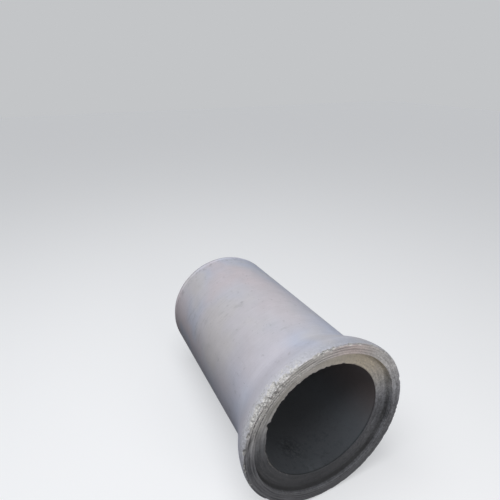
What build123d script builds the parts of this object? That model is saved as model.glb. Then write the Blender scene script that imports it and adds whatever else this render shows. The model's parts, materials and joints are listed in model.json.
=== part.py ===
from build123d import *
from math import asin, atan, atan2, cos, degrees, hypot, sin
import os

# Precast concrete sewer pipe, cast in one piece, with a bell at one end and a
# plain tapered spigot at the other. Millimetres. It lies on a level floor with
# the bell towards +X, so it touches at the bell and at the spigot and its axis
# climbs a little towards the bell.

# Barrel
bore_diameter = 1000
wall_thickness = 100
overall_length = 2100

# Socket, the recess in the bell that takes the next pipe's spigot
joint_gap = 20
socket_depth = 60
socket_corner_radius = 28
mouth_arris = 5
shoulder_arris = 5

# Bell, the thickened end round the socket
bell_wall_thickness = 88
rim_rounding = 16
collar_length = 90
flare_length = 235
flare_head_radius = 300
flare_foot_radius = 300

# Spigot, the plain end
spigot_taper_length = 45
spigot_taper_depth = 10
taper_blend_radius = 20
end_arris = 5

bore_radius = bore_diameter / 2
barrel_radius = bore_radius + wall_thickness
socket_radius = barrel_radius + joint_gap
bell_radius = socket_radius + bell_wall_thickness
taper_start = overall_length - spigot_taper_length
taper_slope = atan2(spigot_taper_depth, spigot_taper_length)
flare_slope = atan2(bell_radius - barrel_radius, flare_length)


def pipe_section():
    """Half of the pipe's lengthwise section, with the mouth at X = 0 and the spigot towards -X."""
    spigot_end_radius = barrel_radius - spigot_taper_depth
    corners = [
        # distance from the mouth, distance from the axis, rounding
        (0, socket_radius + mouth_arris, 0),
        (0, bell_radius, rim_rounding),
        (collar_length, bell_radius, flare_head_radius),
        (collar_length + flare_length, barrel_radius, flare_foot_radius),
        (taper_start, barrel_radius, taper_blend_radius),
        (overall_length - end_arris, spigot_end_radius, 0),
        (overall_length, spigot_end_radius - end_arris, 0),
        (overall_length, bore_radius + end_arris, 0),
        (overall_length - end_arris, bore_radius, 0),
        (socket_depth + shoulder_arris, bore_radius, 0),
        (socket_depth, bore_radius + shoulder_arris, 0),
        (socket_depth, socket_radius, socket_corner_radius),
        (mouth_arris, socket_radius, 0),
    ]
    points = [(-distance, radius) for distance, radius, rounding in corners]
    roundings = [rounding for distance, radius, rounding in corners]
    return make_face(FilletPolyline(*points, radius=roundings, close=True))


def resting_tilt():
    """Slope of the axis, in degrees, when the bell and the start of the taper both touch the floor."""
    bell_arc = collar_length - flare_head_radius * (1 - cos(flare_slope)) / sin(flare_slope)
    taper_arc = taper_start - taper_blend_radius * (1 - cos(taper_slope)) / sin(taper_slope)
    run = taper_arc - bell_arc
    rise = (bell_radius - flare_head_radius) - (barrel_radius - taper_blend_radius)
    return degrees(asin((flare_head_radius - taper_blend_radius) / hypot(run, rise)) + atan(rise / run))


def lying_pipe():
    """The whole pipe, turned from its section and laid down on the floor, centred over the origin."""
    pipe = revolve(Plane.XZ * pipe_section(), axis=Axis.X)
    tilted = Rotation(0, -resting_tilt(), 0) * pipe
    box = tilted.bounding_box()
    return Pos(-box.center().X, 0, -box.min.Z) * tilted


os.makedirs("parts", exist_ok=True)
export_step(lying_pipe(), "parts/concrete_pipe.step")
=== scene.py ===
import json
import math
import random

import bmesh
import bpy
from mathutils import Matrix, Vector, kdtree, noise


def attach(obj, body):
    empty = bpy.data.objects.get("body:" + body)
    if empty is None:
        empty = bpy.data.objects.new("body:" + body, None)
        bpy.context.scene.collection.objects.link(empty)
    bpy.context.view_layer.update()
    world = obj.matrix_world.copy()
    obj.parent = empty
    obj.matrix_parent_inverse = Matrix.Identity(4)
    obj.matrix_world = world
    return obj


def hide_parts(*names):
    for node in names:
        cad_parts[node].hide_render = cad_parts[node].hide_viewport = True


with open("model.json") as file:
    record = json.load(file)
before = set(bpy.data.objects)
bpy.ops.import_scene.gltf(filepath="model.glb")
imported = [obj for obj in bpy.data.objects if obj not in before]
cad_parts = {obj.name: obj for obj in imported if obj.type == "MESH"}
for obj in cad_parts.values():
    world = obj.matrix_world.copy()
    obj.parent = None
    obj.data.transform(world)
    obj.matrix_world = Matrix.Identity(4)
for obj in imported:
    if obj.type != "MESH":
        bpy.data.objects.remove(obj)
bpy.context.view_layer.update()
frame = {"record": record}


# The pipe is one casting of plain grey concrete, made upright between an inner
# and an outer steel mould, with a bell at one end and a tapered spigot at the
# other. It lies unheld on the floor, on the bell and on the start of the taper.

bore_radius = 0.500
barrel_radius = 0.600
socket_radius = 0.620
bell_radius = 0.708
pipe_length = 2.100
socket_depth = 0.060
collar_length = 0.090
flare_foot = 0.325
taper_start = 2.055
taper_depth = 0.010
arris = 0.005

section_corners = (
    # behind the mouth, from the axis, rounding, facets in the rounding
    (0, socket_radius + arris, 0, 0),
    (0, bell_radius, 0.016, 7),
    (collar_length, bell_radius, 0.300, 7),
    (flare_foot, barrel_radius, 0.300, 7),
    (taper_start, barrel_radius, 0.020, 2),
    (pipe_length - arris, barrel_radius - taper_depth, 0, 0),
    (pipe_length, barrel_radius - taper_depth - arris, 0, 0),
    (pipe_length, bore_radius + arris, 0, 0),
    (pipe_length - arris, bore_radius, 0, 0),
    (socket_depth + arris, bore_radius, 0, 0),
    (socket_depth, bore_radius + arris, 0, 0),
    (socket_depth, socket_radius, 0.028, 6),
    (arris, socket_radius, 0, 0),
)

rim_reach = 0.026       # how far back from the mouth the outside is closely divided
collar_reach = 0.100    # and how far less closely
socket_reach = 0.090    # how far back the inside is closely divided
around = 256            # divisions round the barrel
around_rim = 5          # each is divided again this many times round the rim
around_socket = 3       # and this many times in the socket and on the collar
tolerance = 0.0001      # points this close to a surface lie on it


# Parts of the section, told by how far back from the mouth a place lies and how
# far from the axis.
def in_rim(behind, radius):
    return behind < rim_reach and radius > socket_radius + arris - tolerance


def in_socket(behind, radius):
    return behind < socket_reach and radius <= socket_radius + arris - tolerance


def on_collar(behind, radius):
    return rim_reach <= behind < collar_reach and radius > barrel_radius


def row_spacing(behind, radius):
    """How far apart the rows of the mesh lie at this place of the section."""
    outside_wall = radius > barrel_radius - 0.001
    if in_rim(behind, radius):
        return 0.0034
    if in_socket(behind, radius):
        return 0.0056
    if on_collar(behind, radius):
        return 0.0075
    if outside_wall and behind < flare_foot + 0.06:
        return 0.020
    if behind > pipe_length - 0.06:
        return 0.012
    return 0.075 if outside_wall else 0.120


# Half of the lengthwise section, with the mouth at X = 0 and the spigot
# towards -X, rounded at its corners and spun round the axis.
pipe_mesh = bmesh.new()
corners = [pipe_mesh.verts.new((-behind, 0, radius)) for behind, radius, _, _ in section_corners]
for corner, following in zip(corners, corners[1:] + corners[:1]):
    pipe_mesh.edges.new((corner, following))
corner_places = [Vector(corner.co) for corner in corners]
for number, (_, _, rounding, facets) in enumerate(section_corners):
    if rounding:
        before = corner_places[number] - corner_places[number - 1]
        after = corner_places[(number + 1) % len(corners)] - corner_places[number]
        bmesh.ops.bevel(pipe_mesh, geom=[corners[number]], affect="VERTICES", offset_type="OFFSET",
                        offset=rounding * math.tan(before.angle(after) / 2),
                        segments=facets, profile=0.5, material=-1)
for edge in list(pipe_mesh.edges):
    middle = (edge.verts[0].co + edge.verts[1].co) / 2
    cuts = round(edge.calc_length() / row_spacing(-middle.x, middle.z)) - 1
    if cuts > 0:
        bmesh.ops.subdivide_edges(pipe_mesh, edges=[edge], cuts=cuts)
bmesh.ops.spin(pipe_mesh, geom=pipe_mesh.verts[:] + pipe_mesh.edges[:], cent=(0, 0, 0), axis=(1, 0, 0),
               dvec=(0, 0, 0), angle=math.tau, steps=around, use_merge=True)
bmesh.ops.remove_doubles(pipe_mesh, verts=pipe_mesh.verts[:], dist=1e-5)


def from_axis(place):
    return math.hypot(place.y, place.z)


def hoops(zone):
    """The edges that run round the pipe in this zone."""
    found = []
    for edge in pipe_mesh.edges:
        one, other = (vert.co for vert in edge.verts)
        if abs(one.x - other.x) < 1e-5 and abs(from_axis(one) - from_axis(other)) < 1e-5:
            if zone(-one.x, from_axis(one)):
                found.append(edge)
    return found


for zone, divisions in ((in_rim, around_rim), (in_socket, around_socket), (on_collar, around_socket)):
    bmesh.ops.subdivide_edges(pipe_mesh, edges=hoops(zone), cuts=divisions - 1, use_grid_fill=True)

# The outer mould is in two halves, so it has a joint along each of two opposite
# sides. The mesh is cut beside both, where each leaves a thin fin on the barrel.
joint_angle = math.radians(58)
joint_normal = Vector((0, math.cos(joint_angle), -math.sin(joint_angle)))
fin_foot = 0.005        # from the joint to where the fin starts, and to its crest
fin_crest = 0.0014
fin_reach = 0.002       # points this close to the joint belong to the crest
fin_height = 0.0012
for offset in (-fin_foot, -fin_crest, fin_crest, fin_foot):
    bmesh.ops.bisect_plane(pipe_mesh, geom=pipe_mesh.verts[:] + pipe_mesh.edges[:] + pipe_mesh.faces[:],
                           dist=1e-6, plane_co=joint_normal * offset, plane_no=joint_normal)
many_sided = [polygon for polygon in pipe_mesh.faces if len(polygon.verts) > 4]
bmesh.ops.triangulate(pipe_mesh, faces=many_sided, quad_method="BEAUTY", ngon_method="BEAUTY")
bmesh.ops.recalc_face_normals(pipe_mesh, faces=pipe_mesh.faces[:])
pipe_mesh.normal_update()

broken_layer = pipe_mesh.verts.layers.float.new("broken")
groove_layer = pipe_mesh.verts.layers.float.new("groove")
verts = pipe_mesh.verts[:]
places = [Vector(vert.co) for vert in verts]
normals = [Vector(vert.normal) for vert in verts]
cut_away = [0.0] * len(verts)       # how far each point goes in, in metres
broken = [0.0] * len(verts)         # how much of the skin is gone there, 0 to 1
groove = [0.0] * len(verts)         # how deep in a groove it lies, 0 to 1


def ripple(x, y, z):
    """Smooth noise between about -1 and 1."""
    return noise.noise(Vector((x, y, z)))


def raise_fins():
    """Stands a thin broken fin along the barrel at each joint of the mould."""
    for index, place in enumerate(places):
        behind = -place.x
        at_joint = abs(joint_normal.dot(place)) < fin_reach
        if at_joint and from_axis(place) > barrel_radius - 0.001 and 0.03 < behind < taper_start:
            cut_away[index] = -fin_height * max(0.0, 0.6 + ripple(behind * 14, 0, place.z))


raise_fins()

# Lifting and rolling has knocked pieces off the edges: most off the bell's
# outer edge at the upper left, fewer off the edge of the bore. Angles are in
# degrees round from the top, and grow towards the right.
chance = random.Random(11)
bell_edge = (0.0045, bell_radius - 0.0045)      # behind the mouth, from the axis
bore_edge = (socket_depth + 0.002, bore_radius + 0.002)
skin_thickness = 0.005      # a break this deep shows nothing but stones and mortar
finder = kdtree.KDTree(len(verts))
for index, place in enumerate(places):
    finder.insert(place, index)
finder.balance()


def knock_off(behind, radius, degrees, size, bite, lean):
    """Breaks a hollow of radius size out of an edge, going in by bite, at lean degrees from the axis."""
    turn, lean = math.radians(degrees), math.radians(lean)
    outward = Vector((math.cos(lean), math.sin(lean) * math.sin(turn), math.sin(lean) * math.cos(turn)))
    edge = Vector((-behind, radius * math.sin(turn), radius * math.cos(turn)))
    centre = edge + outward * (size - bite)
    for place, index, distance in finder.find_range(centre, size + bite):
        reach = size + bite * (0.55 * noise.noise(place * 42) + 0.22 * noise.noise(place * 120))
        if distance < reach and normals[index].dot(outward) > -0.1:
            inward = (place - centre).dot(normals[index])
            depth = inward + math.sqrt(max(0.0, inward ** 2 - distance ** 2 + reach ** 2))
            depth = min(depth, bite * 1.5)
            cut_away[index] = max(cut_away[index], depth)
            broken[index] = max(broken[index], min(1.0, depth / skin_thickness))


# The worst stretch, where one break runs into the next and back on to the
# collar. The further back one lies, the more it opens to the side.
for _ in range(22):
    back = chance.uniform(0, 0.030)
    knock_off(bell_edge[0] + back, bell_radius - 0.0035, chance.triangular(-68, -32, -43),
              chance.uniform(0.030, 0.075), chance.uniform(0.006, 0.013), chance.uniform(42, 60) + 900 * back)

single_breaks = (
    # degrees, radius of the hollow, bite, lean
    (-38.5, 0.036, 0.013, 35), (-47.5, 0.034, 0.013, 30), (-72, 0.040, 0.009, 35),
    (-83, 0.060, 0.010, 50), (-97, 0.045, 0.008, 40), (-108, 0.080, 0.010, 55))
for degrees, size, bite, lean in single_breaks:
    knock_off(*bell_edge, degrees, size, bite, lean)

hollows_in_face = (
    # degrees, from the axis, radius of the hollow, bite
    (-38, 0.676, 0.026, 0.008), (-43, 0.668, 0.034, 0.010), (-48, 0.680, 0.024, 0.008),
    (-53, 0.672, 0.026, 0.007), (-8, 0.690, 0.026, 0.007), (-2, 0.690, 0.022, 0.006))
for degrees, out, size, bite in hollows_in_face:
    knock_off(0, out, degrees, size, bite, 0)

for degrees in (-31, -26, 5, 18):       # long and shallow
    knock_off(*bell_edge, degrees, chance.uniform(0.100, 0.150), chance.uniform(0.002, 0.004), 50)
for degrees in (-13, -10.5, -6.5, -4, 0, 12):       # short and deep
    knock_off(*bell_edge, degrees, chance.uniform(0.026, 0.036), chance.uniform(0.007, 0.010),
              chance.uniform(30, 60))

scattered_chips = (
    # how many, then the ranges of degrees, radius of the hollow, bite and lean
    (24, (110, 270), (0.035, 0.080), (0.003, 0.008), (30, 60)),
    (16, (18, 110), (0.026, 0.045), (0.004, 0.008), (20, 60)))
for how_many, turns, sizes, bites, leans in scattered_chips:
    for _ in range(how_many):
        knock_off(*bell_edge, chance.uniform(*turns), chance.uniform(*sizes), chance.uniform(*bites),
                  chance.uniform(*leans))

for _ in range(90):
    knock_off(*bore_edge, chance.triangular(-165, 35, -50), chance.uniform(0.014, 0.042),
              chance.uniform(0.003, 0.007), -35)
knock_off(*bore_edge, -70, 0.050, 0.014, -25)


def crumble_breaks():
    """Roughens the breaks, none of which reaches far along the wall of the bore."""
    for index, place in enumerate(places):
        if from_axis(place) < bore_radius + tolerance and -place.x > socket_depth + 0.022:
            cut_away[index] = broken[index] = 0.0
        if broken[index]:
            crumbs = 0.0030 * noise.noise(place * 58) + 0.0016 * noise.noise(place * 130)
            cut_away[index] += broken[index] * crumbs


def scab_collar(centre=-46, spread=32, reach=0.12, scab_depth=0.0050):
    """Beside the worst of the breaks the collar's skin has come off in patches."""
    for index, place in enumerate(places):
        behind = -place.x
        if from_axis(place) > barrel_radius + 0.02 and behind < reach:
            degrees = math.degrees(math.atan2(place.y, place.z))
            scabbed = max(0.0, 1 - ((degrees - centre) / spread) ** 2) * (1 - behind / reach)
            lump = 0.7 * noise.noise(place * 44) + 0.5 * noise.noise(place * 95)
            cut_away[index] += scab_depth * scabbed * max(0.0, 0.45 + lump)
            broken[index] = max(broken[index], min(0.9, 3.6 * scabbed * max(0.0, lump + 0.05)))


crumble_breaks()
scab_collar()

# The face of the bell was struck off by hand while it was wet. The strokes left
# grooves round it, deepest at the left, and a thin lip stands along its outer
# edge at the top. The right-hand side is sandier.
struck_grooves = (
    # from the axis, depth, half width
    (0.695, 0.0036, 0.0072), (0.676, 0.0052, 0.0085), (0.656, 0.0040, 0.0070), (0.637, 0.0044, 0.0075))
edge_wear = 0.0024
lip_height = 0.0032
sand_depth = 0.0050


def groove_depth_at(number, turn, radius):
    """How deep one struck groove is here, as a share of its full depth. It wanders and fades."""
    line_radius, _, half_width = struck_grooves[number]
    wander = 0.0055 * ripple(turn * 2.6, number * 7.7, 0)
    fade = min(1.0, max(0.15, 0.66 + 1.5 * ripple(turn * 3.4, number * 5.1, 4)))
    across_line = abs(radius - line_radius - wander) / half_width
    return fade * max(0.0, 1 - across_line ** 2) ** 2


def lip_at(turn, from_edge):
    """How high the lip is here, as a share of its full height. It stands in two stretches."""
    degrees = math.degrees(turn)
    stretches = max(0.0, 1 - ((degrees + 23) / 14) ** 4, 0.7 - 0.7 * ((degrees - 42) / 27) ** 4)
    return stretches * (0.7 + 0.3 * ripple(turn * 30, 0, 2)) * max(0.0, 1 - (from_edge / 0.007) ** 2)


def strike_off_face():
    """Sinks the strokes, the sand and the grooves into the face, and raises the lip."""
    for index, place in enumerate(places):
        radius, behind, turn = from_axis(place), -place.x, math.atan2(place.y, place.z)
        if behind > socket_reach or (radius > socket_radius + arris and behind > rim_reach):
            continue
        on_left = max(0.0, math.cos((turn + math.radians(75)) / 1.5)) ** 1.5
        on_right = max(0.0, math.cos((turn - math.radians(80)) / 1.2))
        cut_away[index] += 0.0008 * (0.5 + 0.5 * noise.noise(place * 75))
        if normals[index].x > 0.5:
            stroke = 0.5 + 0.5 * ripple(turn * 2.5 + radius * 6, radius * 88, 3)
            cut_away[index] += (0.0006 + 0.0026 * on_left + 0.0016 * on_right) * stroke
            cut_away[index] += sand_depth * on_right * (0.5 + 0.5 * noise.noise(place * 62))
        if normals[index].x > 0.5 and radius > socket_radius:
            for number, (_, depth, _) in enumerate(struck_grooves):
                share = (0.28 + 0.72 * on_left) * (1 - 0.5 * on_right) * groove_depth_at(number, turn, radius)
                cut_away[index] += depth * share
                groove[index] = max(groove[index], share)
        if normals[index].x > 0.05 and radius > barrel_radius:
            from_edge = math.hypot(behind - bell_edge[0], radius - bell_edge[1])
            worn = (0.5 + 0.5 * ripple(turn * 11, 0, 8)) * max(0.0, 1 - from_edge / 0.030)
            cut_away[index] += edge_wear * worn - lip_height * lip_at(turn, from_edge)


strike_off_face()

for index, vert in enumerate(verts):
    vert.co = places[index] - normals[index] * cut_away[index]
    vert[broken_layer] = broken[index]
    vert[groove_layer] = groove[index]

# It lies on the floor with its axis climbing towards the bell, as the bore's
# mount in the frame gives it. That mount is half-way along the bore.
bore_mount = {mount["name"]: mount for mount in frame["record"]["mounts"]}["barrel_bore"]
axis_direction = Vector(bore_mount["axis"]).normalized()
mouth_centre = Vector(bore_mount["pos_m"]) + axis_direction * (socket_depth + pipe_length) / 2
tilt = math.asin(axis_direction.z)
lying = Matrix.Translation(mouth_centre) @ Matrix.Rotation(-tilt, 4, "Y")
bmesh.ops.transform(pipe_mesh, matrix=lying, verts=pipe_mesh.verts[:])

pipe_data = bpy.data.meshes.new("cast_pipe")
pipe_mesh.to_mesh(pipe_data)
pipe_mesh.free()
pipe_data.shade_smooth()
pipe_data.set_sharp_from_angle(angle=math.radians(50))
cast_pipe = bpy.data.objects.new("cast_pipe", pipe_data)
bpy.context.scene.collection.objects.link(cast_pipe)


class Field:
    """A value that varies over the surface: a node's socket with Python's arithmetic."""

    def __init__(self, tree, socket=None):
        self.tree, self.socket = tree, socket

    def node(self, kind, settings=None, inputs=None, output=0):
        made = self.tree.nodes.new(kind)
        for name, value in (settings or {}).items():
            if name == "stops":
                stops = made.color_ramp.elements
                while len(stops) < len(value):
                    stops.new(0.5)
                for stop, (position, colour) in zip(stops, value):
                    stop.position = position
                    stop.color = (*colour, 1)
            else:
                setattr(made, name, value)
        for name, value in (inputs or {}).items():
            if isinstance(value, Field):
                self.tree.links.new(value.socket, made.inputs[name])
            elif isinstance(value, tuple) and len(value) == 3 and made.inputs[name].type == "RGBA":
                made.inputs[name].default_value = (*value, 1)
            else:
                made.inputs[name].default_value = value
        return None if output is None else Field(self.tree, made.outputs[output])

    def maths(self, operation, *values):
        return self.node("ShaderNodeMath", {"operation": operation}, dict(enumerate(values)))

    def __add__(self, other):
        return self.maths("ADD", self, other)

    __radd__ = __add__

    def __sub__(self, other):
        return self.maths("SUBTRACT", self, other)

    def __rsub__(self, other):
        return self.maths("SUBTRACT", other, self)

    def __mul__(self, other):
        return self.maths("MULTIPLY", self, other)

    __rmul__ = __mul__

    def __pow__(self, other):
        return self.maths("POWER", self, other)

    def __abs__(self):
        return self.maths("ABSOLUTE", self)

    def rise(self, low, high, to_low=0.0, to_high=1.0):
        """Smoothly from to_low at low to to_high at high."""
        return self.node("ShaderNodeMapRange", {"interpolation_type": "SMOOTHSTEP"}, {
            "Value": self, "From Min": low, "From Max": high, "To Min": to_low, "To Max": to_high})

    def near(self, centre, width):
        """1 at centre, falling smoothly to 0 at width to either side."""
        return abs(self - centre).rise(0, width, 1, 0)

    def noise(self, scale, detail=3.0, roughness=0.5):
        return self.node("ShaderNodeTexNoise", {"noise_dimensions": "3D"}, {
            "Vector": self, "Scale": scale, "Detail": detail, "Roughness": roughness})

    def moved(self, x, y, z):
        return self.node("ShaderNodeVectorMath", {"operation": "ADD"}, {0: self, 1: (x, y, z)})

    def mix(self, under, over):
        """The colour under where this value is 0, over where it is 1."""
        return self.node("ShaderNodeMix", {"data_type": "RGBA"}, {0: self, 6: under, 7: over}, output=2)

    def scaled(self, share):
        """This colour, made darker or lighter."""
        return self.node("ShaderNodeVectorMath", {"operation": "SCALE"}, {0: self, "Scale": share})


concrete = bpy.data.materials.new("cast_concrete")
concrete.use_nodes = True
concrete.node_tree.nodes.clear()
field = Field(concrete.node_tree)
local = field.node("ShaderNodeMapping", {"vector_type": "POINT"}, {
    "Vector": field.node("ShaderNodeTexCoord", output="Object"),
    "Rotation": (0, tilt, 0),
    "Location": tuple(-(Matrix.Rotation(tilt, 3, "Y") @ mouth_centre))})
along = -1 * field.node("ShaderNodeSeparateXYZ", None, {0: local}, "X")
across = field.node("ShaderNodeSeparateXYZ", None, {0: local}, "Y")
upward = field.node("ShaderNodeSeparateXYZ", None, {0: local}, "Z")
radius = (across * across + upward * upward) ** 0.5
angle = across.maths("ARCTAN2", across, upward)
chipped = field.node("ShaderNodeAttribute", {"attribute_name": "broken"}, output="Fac")
grooved = field.node("ShaderNodeAttribute", {"attribute_name": "groove"}, output="Fac")


def side(degrees, spread):
    """1 at this many degrees round from the top, towards the right, and 0 past the spread."""
    return angle.near(math.radians(degrees), math.radians(spread))


def streaks(x, y, z, detail, roughness):
    """Noise drawn out along the pipe or round it, by how fast x, y and z change."""
    return field.node("ShaderNodeCombineXYZ", None, {"X": x, "Y": y, "Z": z}).noise(1.0, detail, roughness)


outside = radius.rise(0.580, 0.590)
bore = radius.rise(bore_radius + 0.008, bore_radius + 0.002) * along.rise(socket_depth, socket_depth + 0.010)
face = along.rise(0.012, 0.003) * radius.rise(socket_radius - 0.008, socket_radius - 0.002)
socket = radius.rise(socket_radius + 0.0025, socket_radius - 0.0005) * along.rise(0.085, 0.055)
collar = along.rise(0.13, 0.03) * radius.rise(0.690, 0.700)
end_face = along.rise(pipe_length - 0.004, pipe_length - 0.001)
left = side(-70, 85)
right = side(95, 80)
lower = upward.rise(0.40, -0.10)

# Its skin is grey with wide faint patches of blue, pink and buff, and dull
# streaks round it from the mould.
grey = (0.472, 0.462, 0.500)
blue_grey = (0.425, 0.453, 0.545)
pink_grey = (0.502, 0.460, 0.492)
buff_grey = (0.492, 0.473, 0.476)
patches = local.noise(1.3, 2.0)
other_patches = local.moved(7.1, 3.3, 1.7).noise(1.9, 2.0)
mottle = local.noise(9, 6.0, 0.62)
sand = local.noise(420, 2.0, 0.6)
grit = local.noise(110, 4.0, 0.65)
lumps = local.moved(4.4, 0.9, 2.6).noise(52, 3.0, 0.6)
grit_contrast = grit - 0.5
lump_contrast = lumps - 0.5
# Painted sky light: the upper right and the lower flanks are tinted blue, as cool light and shade would tint
# them, and the upper right is kept from turning pink.
painted_sky_tint_side = side(34, 34)
blue_patches_and_sky_tint = patches.rise(0.40, 0.70) + 0.7 * along.rise(0.9, 0.2)
blue_patches_and_sky_tint = blue_patches_and_sky_tint + 0.9 * upward.rise(0.28, -0.10) + 0.7 * painted_sky_tint_side
pinkness = other_patches.rise(0.42, 0.66) * along.rise(0.5, 1.6, 0.35, 0.95) * (1 - 0.8 * painted_sky_tint_side)
skin = blue_patches_and_sky_tint.rise(0.1, 1.3).mix(grey, blue_grey)
skin = pinkness.mix(skin, pink_grey)
skin = (0.6 * other_patches.rise(0.50, 0.32)).mix(skin, buff_grey)

mould_streaks = streaks(along * 75, angle * 2.2, radius * 3, 3.0, 0.7) - 0.5
stains = local.moved(2.2, 9.4, 4.1).noise(22, 3.0, 0.55).rise(0.62, 0.76)
# Painted light and shade: the flare is lightened, most at its foot and on the left, and the lower flanks are
# darkened.
painted_flare_light = 0.12 * left * along.near(0.30, 0.30)
under_shade = 0.12 * upward.rise(0.15, -0.30)
level = (0.90 + 0.20 * mottle) * (0.94 + 0.12 * sand) * (0.95 + 0.10 * grit)
level = level * (1 + 0.18 * outside * mould_streaks) * (1 - 0.17 * outside * stains)
level = level * (1 + 0.08 * outside * along.near(0.30, 0.15))
level = level * (1 + outside * (painted_flare_light - under_shade))
level = level * (1 + 0.6 * end_face * (grit_contrast + lump_contrast))

# Its lower left is darker, more so towards the spigot: painted shade.
# Painted shade on the lower left flank, growing towards the spigot.
painted_flank_shade = side(-110, 60) * along.rise(0.06, 0.22) * along.rise(0.2, 1.9, 0.33, 0.58)
level = level * (1 - outside * painted_flank_shade * (0.85 + 0.6 * mould_streaks))

# The skin is scuffed in patches, most on the left, and flecked with dark spots
# near the spigot's end.
scuffs = streaks(along * 44, angle * 6, 0.5, 3.0, 0.6).rise(0.50, 0.66)
scattered = local.moved(8.2, 3.1, 5.5).noise(2.2, 2.0).rise(0.56, 0.68)
scuffed = side(-62, 26) * along.near(1.45, 0.55) + 0.7 * scattered
flecks = local.moved(1.1, 6.3, 2.8).noise(27, 3.0, 0.6).rise(0.54, 0.63)
flecked = along.near(pipe_length - 0.09, 0.09)
level = level * (1 - outside * (0.18 * scuffs * scuffed + 0.24 * flecks * flecked))

# Air caught against the mould has left small round holes in the skin.
holes = field.node("ShaderNodeTexVoronoi", {"feature": "F1"}, {"Vector": local, "Scale": 34.0})
holed = local.moved(5.5, 1.2, 8.8).noise(14, 2.0, 0.5).rise(0.52, 0.60)
air_holes = holes.rise(0.13, 0.06) * holed * (1 - 0.7 * bore)

# The bell's face and socket are warmer, pink at the top of the face and
# yellowish inside the top right. They are darker in the grooves, and darker and
# cooler over the lower half, partly from dirt and damp and partly as painted shade.
face_tone = (0.565, 0.545, 0.522)
pink_tone = (0.640, 0.550, 0.530)
right_tone = (0.570, 0.570, 0.600)
lower_face_tone = (0.530, 0.535, 0.575)
shoulder_tone = (0.600, 0.580, 0.540)
yellow_tone = (0.670, 0.590, 0.460)
lower_socket_tone = (0.530, 0.540, 0.580)
upper_face_tones = (0.8 * right).mix(side(15, 28).mix(face_tone, pink_tone), right_tone)
upper_socket_tones = side(38, 62).mix(shoulder_tone, yellow_tone)
skin = (0.9 * face).mix(skin, lower.mix(upper_face_tones, lower_face_tone))
skin = socket.mix(skin, lower.mix(upper_socket_tones, lower_socket_tone))

strokes = streaks(angle * 3 + radius * 8, radius * 46, 0.3, 4.0, 0.75) - 0.5
rays = streaks(angle * 26, radius * 5, 0.7, 3.0, 0.65) - 0.5
mouth = face + socket
sandiness = grit_contrast * (0.35 + right) + lump_contrast * (0.30 + 1.6 * right)
level = level * (1 + mouth * strokes * (0.9 + 2.4 * left + 1.6 * right)) * (1 - 0.74 * grooved)
level = level * (1 + 0.25 * socket * rays) * (1 + mouth * sandiness)

# Painted light and shade in the socket: the wall is lightened on the right, the inner corner is darkened, and
# the lower socket is darkened deeper in.
painted_socket_wall_light = radius.near(socket_radius - 0.007, 0.014) * along.rise(socket_depth, socket_depth - 0.010)
socket_corner_shade = radius.near(socket_radius - 0.007, 0.012) * along.near(socket_depth - 0.014, 0.020)
painted_socket_shade = socket * along.rise(0.010, 0.026) * upward.rise(0.10, -0.20)
level = level * (1 + 0.5 * right * painted_socket_wall_light) * (1 - 0.25 * socket_corner_shade)
# The lower half of the face and socket is darkened: partly dirt and damp, partly painted shade.
level = level * (1 - 0.70 * lower * face) * (1 - 0.80 * lower * socket)
level = level * (1 - (0.54 - 0.20 * right) * painted_socket_shade)

# Near the bell's edge the outside is rough and mottled, with painted shade darkening its top and underside.
# Painted highlights run along the bell's outer edge, round the top of the bore's edge and at the start of the
# taper.
collar_tone = (0.475, 0.480, 0.505)
collar_roughness = (0.8 * grit_contrast + 0.9 * lump_contrast) * (0.30 + left)
skin = (collar * (0.3 + 0.5 * left)).mix(skin, collar_tone)
# Painted shade: the collar's top and underside are darkened; its left is paler and rough.
level = level * (1 + collar * (0.18 * left - 0.17 * side(10, 50) - 0.04 + collar_roughness))
level = level * (1 - 0.35 * collar * upward.rise(0.05, -0.45))
bell_edge_highlight = along.near(0.003, 0.008) * radius.near(bell_radius - 0.0035, 0.007) * (
    side(-22, 20) + 0.8 * side(42, 34) + 0.7 * side(-85, 25))
bore_edge_highlight = along.near(socket_depth + 0.002, 0.006) * radius.near(bore_radius + 0.0035, 0.006)
taper_highlight = outside * along.near(taper_start - 0.010, 0.034)
# These painted highlights lighten the edges and the start of the taper.
level = level * (1 + 0.42 * (bell_edge_highlight + 0.5 * bore_edge_highlight * side(12, 40) + 0.7 * taper_highlight))

# The bore is painted very dark, mostly as painted shade, bluer on its floor and browner on its roof.
# Loose dirt lies on its floor, most of it in one heap near the mouth.
bore_floor_shade_tone = (0.090, 0.099, 0.112)
bore_roof_shade_tone = (0.118, 0.101, 0.101)
skin = bore.mix(skin, upward.rise(-0.36, 0.10).mix(bore_floor_shade_tone, bore_roof_shade_tone))
crumbs = local.moved(3.1, 0.4, 6.2).noise(24, 4.0, 0.7).rise(0.50, 0.66)
dirt = bore * upward.rise(-0.30, -0.46) * along.rise(0.75, 0.10) * crumbs
clods = local.moved(6.6, 2.9, 0.8).noise(23, 4.0, 0.7)
heap = bore * across.near(-0.130, 0.170) * along.near(0.33, 0.21) * upward.rise(-0.32, -0.42)
level = level * (1 - 0.22 * dirt + heap * (0.8 * clods.rise(0.36, 0.28) - 0.50 * clods.rise(0.40, 0.56)))
# The bore is grainy, and as painted light and shade it is lighter on the right and darker just inside the
# mouth.
level = level * (1 + bore * (0.8 * right + 0.4 * grit_contrast - 0.22 * along.rise(0.30, 0.08)))

# A dark line of stain and pits follows each joint of the mould.
off_joint = abs(across * joint_normal.y + upward * joint_normal.z) + 0.010 * grit_contrast
pits = local.moved(1.9, 2.7, 0.3).noise(13, 5.0, 0.65).rise(0.34, 0.62)
joint_stain = off_joint.rise(0.009, 0.001) * outside * along.rise(0.08, 0.20) * pits
level = level * (1 - 0.40 * joint_stain) * (1 - 0.45 * air_holes)

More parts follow.
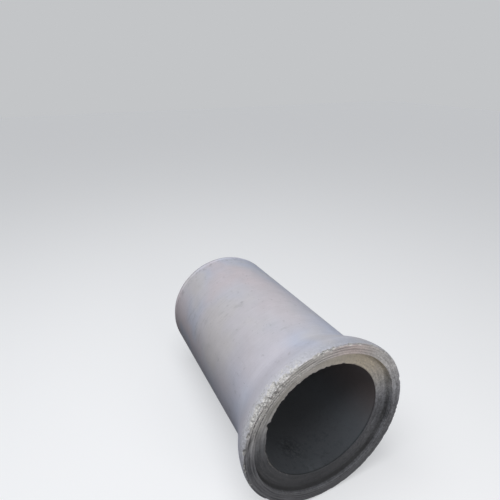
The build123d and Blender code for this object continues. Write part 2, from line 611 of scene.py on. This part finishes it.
# Where the skin is gone, the stones in the concrete show between pale mortar.
mortar_tone = (0.530, 0.530, 0.518)
stone_tones = ((0.0, (0.20, 0.20, 0.21)), (0.35, (0.35, 0.33, 0.30)), (0.7, (0.42, 0.41, 0.39)),
               (1.0, (0.54, 0.52, 0.48)))


def stones(output):
    return field.node("ShaderNodeTexVoronoi", {"feature": "F1"}, {"Vector": local, "Scale": 120.0}, output)


stone_kind = field.node("ShaderNodeSeparateColor", None, {0: stones("Color")})
stone_tone = field.node("ShaderNodeValToRGB", {"stops": stone_tones}, {"Fac": stone_kind})
break_level = (0.80 + 0.40 * grit) * (1 + 1.5 * lump_contrast)
# Breaks in the lower half are darkened too: partly dirt and damp, partly painted shade.
break_level = break_level * (1 - 0.45 * lower) * (1 - 0.6 * socket * lower)
break_tone = stones("Distance").rise(0.50, 0.38).mix(mortar_tone, stone_tone).scaled(break_level)
skin_gone = 0.85 * chipped.rise(0.10, 0.75) * (1 - bore)
shaded = skin_gone.mix(skin.scaled(level), break_tone)

grain = 0.8 + 1.6 * collar + 0.8 * face + 1.2 * end_face + 1.4 * chipped
height = 0.5 * sand + grain * grit + collar * lumps * (0.5 + 2.2 * left) - 3.0 * air_holes - 1.5 * joint_stain
bump = field.node("ShaderNodeBump", None, {"Height": height, "Distance": 0.0008, "Strength": 0.7})
surface = field.node("ShaderNodeBsdfPrincipled", None, {
    "Base Color": shaded, "Roughness": 0.88 + 0.08 * mottle, "Specular IOR Level": 0.35, "Normal": bump})
field.node("ShaderNodeOutputMaterial", None, {"Surface": surface}, output=None)
pipe_data.materials.append(concrete)

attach(cast_pipe, "root")
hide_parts("concrete_pipe")


# The floor is a plain pale one, level and wide, and takes the pipe's shadow.
# The camera sees it and the background lighter than they light the pipe.

floor_reach = 30        # metres to each side
floor_tone_for_light = (0.26, 0.26, 0.27)
floor_tone_seen = (0.47, 0.475, 0.485)
floor_glow_seen = (0.42, 0.427, 0.438)
background_for_light = (0.185, 0.190, 0.200)
background_seen = (0.547, 0.558, 0.572)

floor_mesh = bmesh.new()
bmesh.ops.create_grid(floor_mesh, x_segments=1, y_segments=1, size=floor_reach)
floor_data = bpy.data.meshes.new("floor")
floor_mesh.to_mesh(floor_data)
floor_mesh.free()
floor = bpy.data.objects.new("floor", floor_data)
bpy.context.scene.collection.objects.link(floor)


def seen(tree_field):
    """1 for what the camera sees, straight, mirrored or through glass, and 0 for what lights the pipe."""
    straight = tree_field.node("ShaderNodeLightPath", output="Is Camera Ray")
    mirrored = tree_field.node("ShaderNodeLightPath", output="Is Glossy Ray")
    through = tree_field.node("ShaderNodeLightPath", output="Is Transmission Ray")
    return straight + mirrored + through


pale = bpy.data.materials.new("pale_floor")
pale.use_nodes = True
pale.node_tree.nodes.clear()
pale_field = Field(pale.node_tree)
pale_surface = pale_field.node("ShaderNodeBsdfPrincipled", None, {
    "Base Color": seen(pale_field).mix(floor_tone_for_light, floor_tone_seen), "Roughness": 0.9,
    "Emission Color": seen(pale_field).mix((0, 0, 0), floor_glow_seen), "Emission Strength": 1.0})
pale_field.node("ShaderNodeOutputMaterial", None, {"Surface": pale_surface}, output=None)
floor_data.materials.append(pale)

world = bpy.data.worlds.new("studio")
world.use_nodes = True
world.node_tree.nodes.clear()
world_field = Field(world.node_tree)
background_tone = seen(world_field).mix(background_for_light, background_seen)
world_light = world_field.node("ShaderNodeBackground", None, {"Color": background_tone})
world_field.node("ShaderNodeOutputWorld", None, {"Surface": world_light}, output=None)
bpy.context.scene.world = world


# A wide soft light hangs high over the pipe, on the camera's side, and a weaker
# warm one stands in front of the mouth.

def softbox(name, place, aim, size, watts, tone):
    lamp = bpy.data.lights.new(name, "AREA")
    lamp.shape = "DISK"
    lamp.size = size
    lamp.energy = watts
    lamp.color = tone
    holder = bpy.data.objects.new(name, lamp)
    bpy.context.scene.collection.objects.link(holder)
    holder.location = place
    holder.rotation_mode = "QUATERNION"
    holder.rotation_quaternion = (Vector(aim) - Vector(place)).to_track_quat("-Z", "Y")


softbox("overhead", place=(0.9, -2.0, 7.6), aim=(0, 0, 0.7), size=6.5, watts=480, tone=(1.0, 1.0, 1.0))
softbox("front", place=(5.2, 0.6, 3.4), aim=mouth_centre, size=2.6, watts=62, tone=(1.0, 0.96, 0.90))


# The camera stands in front of the mouth, to the left as one faces it, about 3 m
# over the floor. It looks down past the pipe, and the centre of the mouth lies
# ahead of it, lower and a little to the right.

heading = math.radians(154.3540)     # round from +X
pitch = math.radians(24.6236)         # down from level
mouth_right, mouth_down, mouth_ahead = 0.59244, 1.32276, 2.99856

camera_lens = bpy.data.cameras.new("camera")
camera_lens.sensor_width = 36
camera_lens.lens = 28.872
camera = bpy.data.objects.new("camera", camera_lens)
bpy.context.scene.collection.objects.link(camera)
level_ahead = Vector((math.cos(heading), math.sin(heading), 0))
ahead = level_ahead * math.cos(pitch) - Vector((0, 0, math.sin(pitch)))
right_hand = Vector((math.sin(heading), -math.cos(heading), 0))
down = ahead.cross(right_hand)
camera.location = mouth_centre - right_hand * mouth_right - down * mouth_down - ahead * mouth_ahead
camera.rotation_mode = "QUATERNION"
camera.rotation_quaternion = ahead.to_track_quat("-Z", "Y")
bpy.context.scene.camera = camera
bpy.context.scene.view_settings.view_transform = "Standard"
